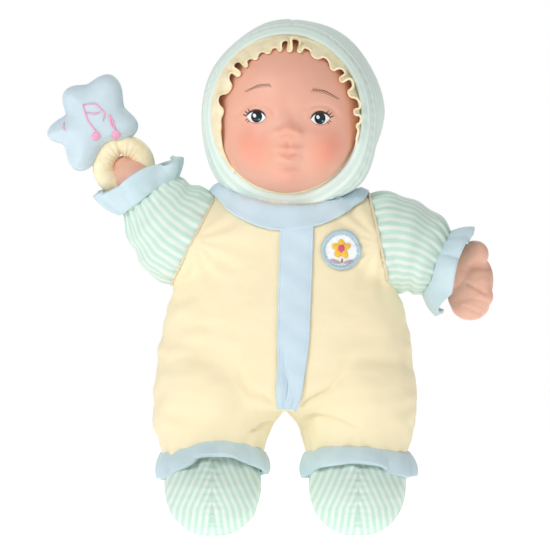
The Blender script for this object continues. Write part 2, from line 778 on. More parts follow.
def open_back(made):
    work = bmesh.new()
    work.from_mesh(made.data)
    for axis, places in ((0, OPENING_X), (2, OPENING_Z)):
        for place in places:
            point = [0.0, 0.0, 0.0]
            point[axis] = place
            normal = [0.0, 0.0, 0.0]
            normal[axis] = 1.0
            geometry = work.verts[:] + work.edges[:] + work.faces[:]
            bmesh.ops.bisect_plane(work, geom=geometry, plane_co=metre(point), plane_no=normal)
    doomed = []
    for face in work.faces:
        x, y, z = (np.array(face.calc_center_median()) - MIDLINE) / MM
        if y > 0 and OPENING_X[0] < x < OPENING_X[1] and OPENING_Z[0] < z < OPENING_Z[1]:
            doomed.append(face)
    bmesh.ops.delete(work, geom=doomed, context="FACES")
    work.to_mesh(made.data)
    work.free()


open_back(romper)
for leg_side, sign in SIDES.items():
    half = romper.copy()
    half.data = romper.data.copy()
    half.name = f"romper_{leg_side}"
    bpy.context.scene.collection.objects.link(half)
    cut(half, (CENTRE_SEAM, 0, 0), (-sign, 0, 0))
    slope = np.array([0.5 * sign, 0.0, -math.sqrt(0.75)])
    start = np.array([CROTCH[0], 0.0, CROTCH[1]]) + slope * 1.0
    cover = ["leg_cover_" + leg_side, "torso_front_" + leg_side]
    if leg_side == "right":
        cover.append("torso_back")
    settle_bent(half, "torso", "leg_" + leg_side, start, start + slope * 30.0, "romper_fleece", *cover)
bpy.data.objects.remove(romper)


def body_piece(name, grid, material, thickness, slot, *nodes, body="torso"):
    made = make_grid(name, grid, material)
    front = normals_of(made)[:, 1].mean() * np.sign(points_of(made)[:, 1].mean() or -1)
    if front < 0:
        made.data.flip_normals()
    thicken(made, thickness)
    return settle(made, body, slot, *nodes)


# Collar: a flat ring of blue fleece that lies on the shoulders.
COLLAR_FROM = np.array([3.0, 0.0, 190.0])


def collar_point(turn, share, lift):
    """On the shoulders, at a turn about the neck from the front, between the lower edge and the neck."""
    low = 4 + 25 * abs(math.sin(turn)) ** 2.6 if math.cos(turn) > 0 else 12 + 17 * abs(math.sin(turn)) ** 2.6
    low += 1.2 * math.sin(3 * turn + 0.6)
    rise = math.radians(low + share * (62 - low))
    direction = np.array([math.sin(turn) * math.cos(rise), -math.cos(turn) * math.cos(rise), math.sin(rise)])
    far = COLLAR_FROM + direction * 160
    hit, normal = BODY.ray(far, -direction)
    if hit is None:
        hit, normal = COLLAR_FROM + direction * 30, direction
    if normal @ direction < 0:
        normal = -normal
    return hit + normal * lift


turns = circle(180)
shares = np.linspace(0, 1, 18)
collar_grid = np.array([
    [collar_point(t, share, 1.3 + 0.5 * math.sin(9 * t + 2 * share)) for t in turns] for share in shares
])
collar = make_grid("collar", collar_grid, "blue", wrap_columns=True)
if normals_of(collar)[:, 2].mean() < 0:
    collar.data.flip_normals()
thicken(collar, 1.4)
settle(collar, "torso", "blue_fleece", "collar")
edge_path = [collar_point(t, 0.03, 1.6) for t in turns]
settle(cord_tube("collar_edge", edge_path, 0.9, "blue", closed=True), "torso", "blue_fleece")

# Placket: the blue strip down the front.
PLACKET_Z = (81, 85, 90, 101, 123, 200)
PLACKET_LEFT = (-3.9, -4.8, -5.0, -4.7, -4.5, -2.5)
PLACKET_RIGHT = (6.4, 8.4, 9.8, 11.6, 14.5, 17.5)


def placket_grid(inset=0.0, lift=0.9):
    rows = []
    for height in np.linspace(81, 199, 90):
        left = np.interp(height, PLACKET_Z, PLACKET_LEFT) + inset
        right = np.interp(height, PLACKET_Z, PLACKET_RIGHT) - inset
        row = []
        for share in np.linspace(0, 1, 13):
            puff = 0.5 * math.sin(math.pi * share) ** 0.5 + 0.25 * math.sin(height * 0.35 + 5 * share)
            pleat = 0.9 * math.sin(4.5 * math.pi * share) * bell(height, 82, 11)
            row.append(BODY.front(left + share * (right - left), height, lift + puff + pleat))
        rows.append(row)
    return np.array(rows)


body_piece("placket", placket_grid(), "blue", 1.0, "blue_fleece", "placket")
for name, column in (("placket_edge_right", 0), ("placket_edge_left", 12)):
    path = placket_grid(0.0, 1.4)[:, column]
    settle(cord_tube(name, path, 0.75, "blue"), "torso", "blue_fleece")

# Chest patch: white twill, a stitched border and a flower.
PATCH = (35.3, 180.6)
settle(sewn_disc("patch_disc", BODY, PATCH, (11, 11), 1.3, "patch", 0.4),
       "torso", "white_patch", "patch_disc")
settle(sewn_disc("patch_border", BODY, PATCH, (12.6, 12.6), 1.4, "border", 0.9, inner=0.82),
       "torso", "blue_fleece", "patch_border")


def stitch_ring(name, radius, count, length, width, lift, material, slot):
    """Short stitches round the patch."""
    parts = []
    for i in range(count):
        angle = 2 * math.pi * i / count
        path = []
        for step in (-1, 0, 1):
            turn = angle + step * length / 2 / radius
            path.append((PATCH[0] + radius * math.cos(turn), PATCH[1] + radius * math.sin(turn)))
        parts.append(sewn_stroke("stitch", BODY, path, width, lift, material, 0.3))
    return settle(join(parts, name), "torso", slot)


stitch_ring("patch_stitches", 9.9, 30, 1.3, 0.5, 1.75, "border", "thread")
petals = []
for petal in range(5):
    around = math.radians(90 + 72 * petal)
    middle = (PATCH[0] + 3.5 * math.cos(around), PATCH[1] + 1.2 + 3.5 * math.sin(around))
    petals.append(sewn_disc("petal", BODY, middle, (2.6, 2.1), 1.9, "yellow", 0.7, 90 + 72 * petal))
settle(join(petals, "patch_petals"), "torso", "white_patch")
settle(sewn_disc("patch_flower_heart", BODY, (PATCH[0], PATCH[1] + 1.2), (2.2, 2.2), 2.4, "rose", 0.7),
       "torso", "white_patch")
settle(sewn_stroke("patch_stem", BODY, [(35.6, 176), (35.2, 174), (35.4, 172.4)], 1.1, 1.8, "brown", 0.4),
       "torso", "white_patch")
leaves = [sewn_disc("leaf", BODY, (31.4, 173.6), (3.4, 1.2), 1.8, "mauve", 0.5, -18),
          sewn_disc("leaf", BODY, (39.6, 173.6), (3.4, 1.2), 1.8, "mauve", 0.5, 18)]
settle(join(leaves, "patch_leaves"), "torso", "white_patch")


# Back flap, hinged along its upper hem.
def flap_grid():
    rows = []
    for height in np.linspace(186.5, 115.5, 60):
        low = smooth_step(122 - height, 0, 7)
        half = 30.5 - 5 * low**2
        row = []
        for share in np.linspace(-1, 1, 49):
            lift = 2.4 + 0.35 * math.sin(height * 0.3 + 4 * share)
            row.append(BODY.front(share * half, height, lift, back=True))
        rows.append(row)
    return np.array(rows)


body_piece("back_flap", flap_grid(), "cream", 1.6, "romper_fleece", "back_flap", body="back_flap")
rim = flap_grid()
hem = np.concatenate([rim[:, 0], rim[-1, 1:-1], rim[::-1, -1]])
settle(cord_tube("flap_hem", hem, 1.0, "seam"), "back_flap", "romper_fleece")
top_seam = [BODY.front(x, 188.5, 0.6, back=True) for x in np.linspace(-31, 31, 40)]
settle(cord_tube("flap_seam", top_seam, 0.8, "seam"), "torso", "romper_fleece")
opening = [BODY.front(x, OPENING_Z[1], 0.2, back=True) for x in np.linspace(-24, 24, 25)]
opening += [BODY.front(24, z, 0.2, back=True) for z in np.linspace(178, 126, 25)]
opening += [BODY.front(x, OPENING_Z[0], 0.2, back=True) for x in np.linspace(24, -24, 25)]
opening += [BODY.front(-24, z, 0.2, back=True) for z in np.linspace(126, 178, 25)]
settle(cord_tube("opening_hem", opening, 0.9, "seam", closed=True), "torso", "romper_fleece")


# ---------------------------------------------------------------- arms

# The sleeve's radius at each distance from the armhole.
SLEEVE = ((0, 31.6), (5, 32.2), (11, 31.6), (22, 28.8), (32, 25.8), (37, 23.8), (40, 21.6), (42, 19.9),
          (50, 19.0))
# Where each wrist frill starts along the arm, how long it is and how far it flares.
CUFF = {"right": (42.0, 13.0, 5.2), "left": (40.8, 12.0, 7.6)}
OUT = {side: ARMHOLE_AXIS[side] * np.sign(ARMHOLE_AXIS[side][0]) * sign for side, sign in SIDES.items()}
ALONG = {side: ARM_AXIS[side] * np.sign(ARM_AXIS[side][0]) * sign for side, sign in SIDES.items()}


def sleeve_station(side, along, radius):
    """One ring of the sleeve, which turns from the armhole's direction to the arm's."""
    turn = min(along / 45, 1.0)
    axis = OUT[side] * (1 - turn) + ALONG[side] * turn
    centre = SHOULDER[side] + axis / np.linalg.norm(axis) * along
    return centre, axis, radius, radius


sleeve_rows, sleeve_sides, sleeve_stripes = 70, 192, 36
for side, sign in SIDES.items():
    alongs = np.linspace(0, 50, sleeve_rows)
    radii = np.interp(alongs, *zip(*SLEEVE))
    radii[2:-2] = np.convolve(radii, np.ones(5) / 5, "valid")
    stations = [sleeve_station(side, a, r) for a, r in zip(alongs, radii)]
    offset = 1.7 if side == "left" else 0.4

    hang = -math.copysign(1, ring_frame(ALONG[side])[1][2])

    def gathers(row, around, offset=offset, alongs=alongs, hang=hang):
        """How far the cloth sags, gathers and creases away from the plain sleeve."""
        along = alongs[row]
        sag = 2.6 * np.clip(np.cos(around) * hang, 0, 1) ** 1.5 * math.sin(math.pi * min(along, 42) / 42)
        near = 0.9 * bell(along, 3, 6) * np.sin(17 * around + offset + np.sin(3 * around))
        wrist = 1.1 * bell(along, 40, 6) * np.sin(19 * around + 2 * offset + np.sin(2 * around))
        drape = 0.9 * np.sin(2 * around + along * 0.16 + offset) * math.sin(math.pi * along / 50)
        crease = 0.7 * np.sin(along * 0.45 + 2.2 * np.sin(around + offset))
        return sag + near + wrist + drape + crease * math.sin(math.pi * along / 50)

    sleeve = swept(f"sleeve_{side}", stations, "stripe", sleeve_sides, True, gathers)
    count = np.tile(np.arange(sleeve_sides) / sleeve_sides * sleeve_stripes, sleeve_rows)
    give(sleeve, "stripe", np.concatenate([count, [0.0, 0.0]]))
    settle_bent(sleeve, f"shoulder_{side}", f"arm_{side}", SHOULDER[side] + ALONG[side] * 1,
                SHOULDER[side] + ALONG[side] * 19, "mint_stripe", f"sleeve_{side}")
    front, up = ring_frame(OUT[side])
    around = circle(120)
    seam = SHOULDER[side] + OUT[side] * 0.2 + spokes_of(front, up, around) * 31.9
    settle(cord_tube(f"armhole_seam_{side}", seam, 1.0, "seam", closed=True), f"shoulder_{side}", "thread",
           f"shoulder_seam_{side}")

    # Wrist frill: a gathered double strip of blue fleece.
    front, up = ring_frame(ALONG[side])
    rows = []
    sides = 240
    around = circle(sides)
    start, length, spread = CUFF[side]
    phase = 8 * around + 1.5 * np.sin(2 * around + offset) + offset
    for share in np.linspace(0, 1, 22):
        along = start + length * share
        flare = 19.8 + spread * share**0.75 + 1.2 * math.sin(math.pi * share)
        fold = 0.3 + 1.9 * share**1.1
        tucks = 0.35 * np.cos(19 * around + 2 * np.sin(3 * around)) * (1 - share)
        radius = flare + fold * np.cos(phase) + tucks
        slide = around + 0.07 * share * np.sin(phase + 0.8)
        push = along + (0.6 + 1.4 * share) * np.sin(4 * around + 2.0 * np.sin(around) + offset)
        across = radius * np.cos(slide)
        if side == "right":
            push = push - (0.18 + 0.2 * share) * across * np.sign(up[2])
            across = across + 3.5 * share * np.sign(up[2])
        rows.append(
            SHOULDER[side] + push[:, None] * ALONG[side]
            + across[:, None] * up + (radius * np.sin(slide))[:, None] * front
        )
    frill = make_grid(f"wrist_frill_{side}", np.array(rows), "frill", wrap_columns=True)
    thicken(frill, 3.0)
    soften(frill, 3)
    settle(frill, f"arm_{side}", "blue_fleece", f"wrist_ruffle_{side}")
    half_around = around[::2]
    pinch = 20.4 + 0.3 * np.sin(15 * half_around)
    tie = SHOULDER[side] + ALONG[side] * start + spokes_of(front, up, half_around) * pinch[:, None]
    settle(cord_tube(f"wrist_tie_{side}", tie, 0.9, "mint_seam", closed=True), f"arm_{side}", "thread",
           f"wrist_tie_{side}")


def limb(points, radii, steps=9):
    """A chain of eggs along a bent finger."""
    parts = []
    points = np.asarray(points, float)
    for i in range(len(points) - 1):
        for share in np.linspace(0, 1, steps):
            centre = points[i] * (1 - share) + points[i + 1] * share
            waist = 1 - 0.05 * math.sin(math.pi * share)
            radius = (radii[i] * (1 - share) + radii[i + 1] * share) * waist
            parts.append(ellipsoid(centre, (radius, radius, radius), steps=12))
    return parts


def finish_hand(side, parts, voxel=0.75, creases=()):
    """Melt the eggs of a hand together, press in its creases and settle it."""
    hand = join(parts, f"hand_{side}")
    remesh(hand, voxel, 5)
    points = points_of(hand)
    normals = normals_of(hand)
    flat = points[:, [0, 2]]
    for start, end, depth, width in creases:
        run = np.subtract(end, start)
        share = np.clip(((flat - start) @ run) / (run @ run), 0, 1)
        away = np.linalg.norm(flat - (np.array(start) + share[:, None] * run), axis=1)
        points -= normals * (depth * bell(away, 0, width) * (points[:, 1] < 0))[:, None]
    set_points(hand, points)
    hand.data.materials[0] = MATERIALS["hand"]
    settle(hand, f"hand_{side}", "vinyl_skin", f"hand_{side}")


# Left hand: it hangs, with its thumb on top and its fingers curled below.
wrist = SHOULDER["left"] + ALONG["left"] * 48
palm = [ellipsoid((118.5, 0, 158.5), (14.5, 13.0, 20.5), turn=-14),
        ellipsoid((118.5, 0, 146.5), (12.5, 12.5, 10.5))]
palm += limb([wrist, (110, 0, 165)], (12.5, 13))
palm += limb([(114.0, -2, 170), (121.4, -4, 178.4)], (10.0, 8.9))
palm += limb([(123.2, -4, 160), (124.2, -4, 151.5), (120.5, -4, 144.5)], (8.8, 9.0, 8.2))
# Between the curled fingers and under the thumb: start, end, depth and width.
CREASES = (((116.3, 159.8), (128.0, 153.4), 1.1, 1.3), ((114.1, 144.6), (124.5, 140.6), 1.0, 1.3),
           ((122.0, 150.0), (130.0, 147.0), 0.6, 1.4), ((120.0, 171.0), (134.0, 169.5), 1.7, 2.6))
finish_hand("left", palm, 0.75, CREASES)

# Right hand: a fist, with its fingertips through the hole of the teething ring.
fist_at = SHOULDER["right"] + ALONG["right"] * 54
wrist = SHOULDER["right"] + ALONG["right"] * 44
fist = limb([wrist, fist_at], (13.0, 13.5))
fist += [ellipsoid(fist_at + (1.5, 3.5, -1.0), (13.0, 11.5, 20.5), turn=45)]
for slide in (-10.5, -3.6, 3.4, 10.0):
    across = np.array([0.707, 0.0, 0.707]) * slide
    base = fist_at + across + (-7.5, 6.0, 7.5)
    over = RING_CENTRE + across * 0.42 + (0.6, 5.0, -1.6)
    tip = RING_CENTRE + across * 0.40 + (1.6, -3.4, -2.2)
    fist += limb([base, over, tip], (5.0, 3.4, 2.8))
finish_hand("right", fist, 0.7)


# ---------------------------------------------------------------- star rattle on its ring

ring_sides, ring_steps = 40, 150
RING_AT = RING_CENTRE + (2.6, 0.0, -0.6)
RING_R = 12.9
RING_SEAM = 1.75
around = circle(ring_steps)
section = circle(ring_sides)
ring_rows = []
for a in around:
    from_seam = (a - RING_SEAM + math.pi) % (2 * math.pi) - math.pi
    near = bell(from_seam, 0, 0.7)
    gather = (0.08 + 0.3 * near) * math.sin(23 * a) + 0.15 * math.sin(5 * a + 1)
    tuck = 1.8 * bell(from_seam, 0, 0.16)
    row = []
    for b in section:
        inner = 0.5 - 0.5 * math.cos(b)
        radius = 6.7 + gather * (0.3 + inner) - tuck * (0.3 + 0.7 * inner)
        reach = RING_R + radius * math.cos(b)
        row.append(RING_AT + np.array([reach * math.cos(a), radius * math.sin(b), reach * math.sin(a)]))
    ring_rows.append(row)
ring = make_grid("rattle_ring", np.array(ring_rows), "satin", wrap_rows=True, wrap_columns=True)
settle(ring, "rattle", "yellow_satin", "rattle_ring")
outer = RING_R + 6.6
ring_seam = RING_AT + as_points(outer * np.cos(around), 0.4, outer * np.sin(around))
settle(cord_tube("ring_seam", ring_seam, 0.45, "seam", closed=True), "rattle", "yellow_satin")

# The star leans away from the front, so its arms show unequal. Each tip and each notch between
# two tips: (angle, distance from the middle).
STAR_OUTLINE = ((16, 24.0), (57, 30.4), (94, 20.0), (126, 21.6), (174, 13.6), (207, 27.8), (230, 23.4),
                (260, 34.8), (304, 21.5), (347, 32.8))


def star_radius(angle):
    """The star's outline, with round tips and round notches."""
    places = np.array([degrees for degrees, _ in STAR_OUTLINE], float)
    reach = np.array([distance for _, distance in STAR_OUTLINE], float)
    places = np.concatenate([places[-1:] - 360, places, places[:1] + 360])
    reach = np.concatenate([reach[-1:], reach, reach[:1]])
    degrees = np.degrees(angle) % 360
    degrees = np.where(degrees > places[-1], degrees - 360, degrees)
    after = np.clip(np.searchsorted(places, degrees), 1, len(places) - 1)
    share = (degrees - places[after - 1]) / (places[after] - places[after - 1])
    smooth = 0.5 - 0.5 * np.cos(math.pi * share)
    return reach[after - 1] + (reach[after] - reach[after - 1]) * smooth


def star_side(sign):
    """One puffed side of the star: its height grows with the distance from the seam."""
    around = circle(240)
    outline = star_radius(around)
    edge = np.stack([outline * np.cos(around), outline * np.sin(around)], -1)
    rows = []
    for share in np.concatenate([np.linspace(0.02, 0.8, 26), np.linspace(0.82, 1.0, 16)]):
        flat = edge * share
        away = np.sqrt(((flat[:, None] - edge[None]) ** 2).sum(-1)).min(1)
        depth = 12.6 * np.sqrt(1 - (1 - np.clip(away / 15.0, 0, 1)) ** 2)
        depth = depth + 0.18 * np.sin(around * 41 + np.sin(5 * around)) * bell(share, 0.93, 0.06)
        rows.append(STAR_CENTRE + as_points(flat[:, 0], sign * depth, flat[:, 1]))
    grid = np.array(rows)
    for _ in range(3):
        grid[1:-1, :, 1] = (grid[:-2, :, 1] + 2 * grid[1:-1, :, 1] + grid[2:, :, 1]) / 4
        grid[:-1, :, 1] = (np.roll(grid, 1, 1) + 2 * grid + np.roll(grid, -1, 1))[:-1, :, 1] / 4
    return grid


for name, sign in (("star_front", -1), ("star_back", 1)):
    half_star = make_grid(name, star_side(sign), "star", wrap_columns=True)
    work = bmesh.new()
    work.from_mesh(half_star.data)
    middle = Vector(metre(STAR_CENTRE))
    hole = [e for e in work.edges if e.is_boundary and (middle - e.verts[0].co).xz.length < 0.004]
    bmesh.ops.contextual_create(work, geom=hole)
    bmesh.ops.recalc_face_normals(work, faces=work.faces)
    work.to_mesh(half_star.data)
    work.free()
    if normals_of(half_star)[:, 1].mean() * sign < 0:
        half_star.data.flip_normals()
    if sign < 0:
        STAR = Surface(half_star)
    settle(half_star, "rattle", "star_plush", name, *(("star_fill",) if sign > 0 else ()))
around = circle(240)
reach = star_radius(around)
star_edge = STAR_CENTRE + as_points(reach * np.cos(around), 0.0, reach * np.sin(around))
settle(cord_tube("star_seam", star_edge, 0.55, "star", closed=True), "rattle", "star_plush")


def note(name, head, top, flag, width=1.0):
    """An embroidered musical note: a round head, a stem and a curling flag."""
    parts = [sewn_disc("head", STAR, head, (2.9, 2.5), 0.35, "pink", 0.7, 25)]
    bend = ((head[0] + top[0]) / 2 - 1.0, (head[1] + top[1]) / 2)
    stem = [(head[0] + 1.6, head[1] + 1), bend, top]
    parts.append(sewn_stroke("stem", STAR, stem, width, 0.35, "pink", 0.6, taper=False))
    parts.append(sewn_stroke("flag", STAR, [top] + list(flag), width, 0.35, "pink", 0.6))
    return settle(join(parts, name), "rattle", "star_plush")


note("star_note_first", (-120.6, 253.6), (-129.0, 273.5), ((-121.0, 274.5), (-114.8, 268.5), (-116.0, 263.0)))
note("star_note_second", (-108.0, 254.5), (-112.0, 267.5), ((-109.5, 262.5), (-108.4, 258.5)), 1.2)
bar = sewn_stroke("bar", STAR, [(-126.8, 268.6), (-121.5, 267.6), (-117.6, 269.0)], 1.1, 0.35, "pink", 0.5)
settle(bar, "rattle", "star_plush")
bar.name = "star_note_bar"
curl = [(-140.8, 262.8), (-141.6, 259.2), (-139.6, 256.8)]
settle(sewn_stroke("star_curl", STAR, curl, 1.1, 0.3, "pink", 0.5), "rattle", "star_plush")


# ---------------------------------------------------------------- boots and ankle frills

# Each level of the boot: height, half width, half depth, and where its middle is (minus is forward).
BOOT = ((0.0, 10.0, 15, -13), (1.5, 13.6, 19, -13), (3.2, 16.6, 22.5, -13), (6, 20.6, 26.5, -13),
        (11.5, 25.8, 31.5, -13), (17, 28.4, 34.3, -13), (24, 30.4, 36.2, -12.5), (32, 31.0, 35.8, -11),
        (38, 30.2, 33.6, -9), (45, 28.8, 30.5, -6), (52, 27.6, 28.6, -4), (60, 25, 26, -3))
# How far each ankle frill rises at the front.
ANKLE_ARCH = {"right": 8.0, "left": 3.5}


def boot_stripe(points, centre_x):
    """Stripes that meet in peaks at the middle seam and run straight down at the toe."""
    across = np.abs(points[:, 0] - centre_x)
    height = points[:, 2]
    lift = np.where(height > 18, height, 18 - (18 - height) * 0.3)
    return (across * 2.2 + lift) / 9.4


for side, sign in SIDES.items():
    centre_x = sign * HIP_X
    around = circle(200)
    heights = np.concatenate([np.linspace(0, 5, 14), np.linspace(5.8, 60, 74)])
    table = np.array(BOOT, float)
    rows = []
    shift = FOOT_Y[side]
    for height in heights:
        half_x, half_y, middle = [np.interp(height, table[:, 0], table[:, k]) for k in (1, 2, 3)]
        middle += shift * (1 - smooth_step(np.array(height), 30, 56))
        power = 2.25
        c, s = np.cos(around), np.sin(around)
        x = centre_x + half_x * np.sign(c) * abs(c) ** (2 / power)
        y = middle + half_y * np.sign(s) * abs(s) ** (2 / power)
        rows.append(np.stack([x, y, np.full_like(x, height)], -1))
    grid = np.array(rows)
    for _ in range(3):
        grid[2:-1] = (grid[1:-2] + 2 * grid[2:-1] + grid[3:]) / 4
    boot = make_grid(f"bootie_{side}", grid, "stripe", wrap_columns=True, caps=True)
    points = points_of(boot)
    normals = normals_of(boot)
    soft = wave_noise(points, 16.0, 4.0 + sign)
    fine = wave_noise(points, 6.0, 9.0 + sign)
    across = points[:, 0] - centre_x
    seam = -0.5 * bell(across, 0, 1.1) * (points[:, 1] < -10)
    pucker = 0.35 * np.sin(points[:, 2] * 1.5) * bell(across, 0, 6) * (points[:, 1] < -10)
    top = 0.9 * np.sin(np.arctan2(points[:, 1] + 6, across) * 14) * bell(points[:, 2], 46, 6)
    free = smooth_step(points[:, 2], 1.0, 6.0)
    points += normals * ((0.8 * soft + 0.25 * fine + seam + pucker + top) * free)[:, None]
    points[:, 2] = np.maximum(points[:, 2], 0.0)
    set_points(boot, points)
    give(boot, "stripe", boot_stripe(points, centre_x))
    settle(boot, f"leg_{side}", "mint_stripe", f"bootie_{side}")
    surface = Surface(boot)
    stitches = []
    for height in np.arange(6, 46, 2.6):
        line = [(centre_x + 0.1, height), (centre_x - 0.1, height + 1.5)]
        stitches.append(sewn_stroke("stitch", surface, line, 0.6, 0.2, "light_seam", 0.3))
    settle(join(stitches, f"bootie_seam_{side}"), f"leg_{side}", "mint_stripe")

    # Ankle frill: rises a little towards the front, with one low fold.
    around = circle(300)
    phase = 9 * around + 1.6 * np.sin(2 * around + sign) + 0.6 * sign
    front = np.cos(around + math.pi / 2 + 0.25 * sign)
    rows = []
    for share in np.linspace(0, 1, 20):
        fold = (0.4 + 1.6 * share**1.3)
        roll = 0.9 * math.sin(math.pi * share)
        swell = 2.6 - 2.0 * share**3
        if side == "left":
            swell = swell + 2.8 * smooth_step(np.cos(around) * sign, 0.2, 1.0)
        reach_x = 30.4 + swell * share**0.7 + fold * np.cos(phase) + roll
        reach_y = 31.0 + 6.0 * share**0.7 + fold * np.cos(phase) + roll
        slide = around + 0.07 * share * np.sin(phase + 0.7)
        arch = ANKLE_ARCH[side] * bell(front, 1, 0.34) - 2.0
        lobe = -3.5 * share * bell(around + math.pi / 2 + 0.35 * sign, -0.2, 0.16)
        ends = 4.0 * share * (1 - bell(front, 1, 0.6))
        wave = 1.5 * share * np.sin(3 * around + 1.0 + np.sin(around))
        drop = 52.6 - 10.0 * share + arch - ends + wave + lobe
        y = shift * 0.5 * share - 3 * share + reach_y * np.sin(slide)
        rows.append(as_points(centre_x + reach_x * np.cos(slide), y, drop))
    frill = make_grid(f"ankle_frill_{side}", np.array(rows), "frill", wrap_columns=True)
    thicken(frill, 3.2)
    soften(frill, 3)
    settle(frill, f"leg_{side}", "blue_fleece", f"ankle_ruffle_{side}")
    third = around[::3]
    arch = ANKLE_ARCH[side] * bell(np.cos(third + math.pi / 2 + 0.25 * sign), 1, 0.34) - 2.0
    drop = 52.8 + arch + 0.3 * np.sin(21 * third)
    ring_path = as_points(centre_x + 31.6 * np.cos(third), 32.0 * np.sin(third), drop)
    settle(cord_tube(f"ankle_seam_{side}", ring_path, 0.9, "blue", closed=True), f"leg_{side}", "blue_fleece")


# ---------------------------------------------------------------- hood and frill

HOOD_RADII = np.array([58.5, 54.0, 60.0])
RIM_CENTRE = np.array([0.5, 0.0, 267.0])
RIM_R = 49.0
RIM_SHAPE = (0.97, 1.03)


def rim_ring(turn, radius, depth):
    """Points round the face opening, which is a little taller than wide."""
    around = as_points(radius * RIM_SHAPE[0] * np.cos(turn), depth, radius * RIM_SHAPE[1] * np.sin(turn))
    return RIM_CENTRE + around


def rim_polar(turn, radius=RIM_R):
    """Where a circle of the face opening meets the hood: the angles of that place on the egg."""
    x, _, z = ((rim_ring(turn, radius, 0.0) - HEAD) / HOOD_RADII).T
    flat = np.clip(np.hypot(x, z), 0, 0.999)
    return np.arcsin(flat), np.arctan2(z, x)


turns = circle(320)
polar_rim, sector = rim_polar(turns)
shares = np.concatenate([np.linspace(0, 0.14, 24), np.linspace(0.15, 1.0, 90)])
rows = []
counts = []
inner = ((0.955, -16.0), (0.962, -20.0), (0.972, -24.0), (0.985, -27.4))
for scale, depth in inner:
    rows.append(rim_ring(turns, RIM_R * scale, depth))
    counts.append(np.full_like(turns, 0.3))
for share in shares:
    polar = polar_rim + share * (math.pi - 0.02 - polar_rim)
    arc = (polar - polar_rim) * 56
    band = 1.5 * bell(arc, 5.5, 4.0) - 0.9 * bell(arc, 12.5, 0.9)
    pucker = 0.35 * np.sin(turns * 57 + 2 * np.sin(5 * turns)) * bell(arc, 11.5, 3.0)
    crown = -0.7 * bell(np.arctan2(np.cos(sector), abs(np.sin(sector))), 0, 0.02) * (arc > 13)
    soft = 0.8 * np.sin(3 * sector + polar * 4) * smooth_step(arc, 10, 40)
    reach = band + pucker + crown + soft
    low_side = bell(np.arctan2(np.sin(sector), np.abs(np.cos(sector))), -0.82, 0.36)
    reach = reach + 6.0 * low_side * bell(arc, 17, 13)
    slack = 0.5 * np.sin(7 * sector + 1.4 * np.sin(polar * 5)) * bell(arc, 30, 22)
    reach = reach + slack + 1.2 * bell(np.sin(sector), -0.35, 0.4) * bell(arc, 14, 14)
    direction = np.stack([np.sin(polar) * np.cos(sector), -np.cos(polar), np.sin(polar) * np.sin(sector)], -1)
    under = bell(sector + math.pi / 2, 0, 0.75) * bell(arc, 10, 9)
    strap = under[:, None] * np.array([0.0, -10.5, -5.6])
    row = HEAD + direction * (HOOD_RADII + reach[:, None]) + strap
    narrow = 0.075 * np.clip((row[:, 2] - HEAD[2]) / 60, 0, 1) * (1 - np.exp(-arc / 9))
    row[:, 0] -= (row[:, 0] - HEAD[0]) * narrow
    rows.append(row)
    counts.append(arc / 4.5 + 0.3)
hood = make_grid("hood", np.array(rows), "hood", wrap_columns=True)
give(hood, "stripe", np.array(counts))
if (normals_of(hood) * (points_of(hood) - HEAD)).sum(1).mean() < 0:
    hood.data.flip_normals()
settle(hood, "head", "mint_stripe", "hood_left", "hood_right", "hood_band")
tie = []
for a in circle(150):
    tie.append(HEAD + np.array([63.2 * math.sin(0.42) * math.cos(a), 63.2 * math.sin(0.42) * math.sin(a),
                                -63.2 * math.cos(0.42)]))
settle(cord_tube("neck_seam", tie, 1.2, "mint_seam", closed=True), "neck", "thread", "neck_seam")

# ---------------------------------------------------------------- face

FACE_RADII = np.array([47.2, 42.5, 52.0])
EYES = ((-18.0, 264.6), (21.9, 263.6))
# Each feature: (x, z), its height out of the face, and its spread across and up.
FEATURES = (
    ((2, 293), 1.6, 25, 14), ((-18, 264.4), -2.9, 9.0, 6.4), ((21.9, 263.4), -2.9, 9.0, 6.4),
    ((2, 267), -1.4, 5.0, 8.0), ((2, 261), 1.4, 3.6, 5.0), ((2, 256.2), 4.2, 5.4, 4.2),
    ((-4.0, 254.6), 2.5, 3.3, 2.8), ((8.0, 254.4), 2.5, 3.3, 2.8), ((-1.2, 251.8), -0.6, 1.6, 1.0),
    ((5.2, 251.7), -0.6, 1.6, 1.0), ((2, 247.6), -0.7, 1.4, 2.2), ((-21, 243), 4.2, 12, 12),
    ((26, 242), 4.2, 12, 12), ((2, 242.0), 2.4, 10, 7.0), ((-1.6, 244.8), 2.0, 4.2, 2.0),
    ((5.6, 244.8), 2.0, 4.2, 2.0), ((2, 237.6), 3.3, 6.0, 2.7), ((-6.8, 241.0), -0.7, 1.9, 2.0),
    ((10.8, 240.8), -0.7, 1.9, 2.0), ((2, 232.8), -1.5, 6.0, 1.9), ((1.0, 226.4), 3.4, 8.0, 6.0),
    ((-15, 230), 1.4, 9, 8), ((19, 229), 1.4, 9, 8),
)


def face_relief(x, z):
    relief = np.zeros_like(x)
    for (cx, cz), height, across, up in FEATURES:
        relief += height * np.exp(-(((x - cx) / across) ** 2 + ((z - cz) / up) ** 2))
    mouth = 241.0 + 0.014 * (x - 2) ** 2 - 0.5 * bell(x, 2, 1.6)
    relief -= 1.1 * bell(z, mouth, 0.9) * np.exp(-(np.abs((x - 2) / 6.4) ** 4))
    for ex, ez in EYES:
        around = np.hypot((x - ex) / 8.2, (z - ez) / 6.0)
        upper = smooth_step(z - ez, -2.0, 2.0)
        relief += 1.6 * np.exp(-((around / 0.85) ** 4))
        relief += (0.45 * upper + 0.1) * bell(around, 1.02, 0.2)
        relief -= 0.3 * upper * bell(around, 1.4, 0.22)
    return relief


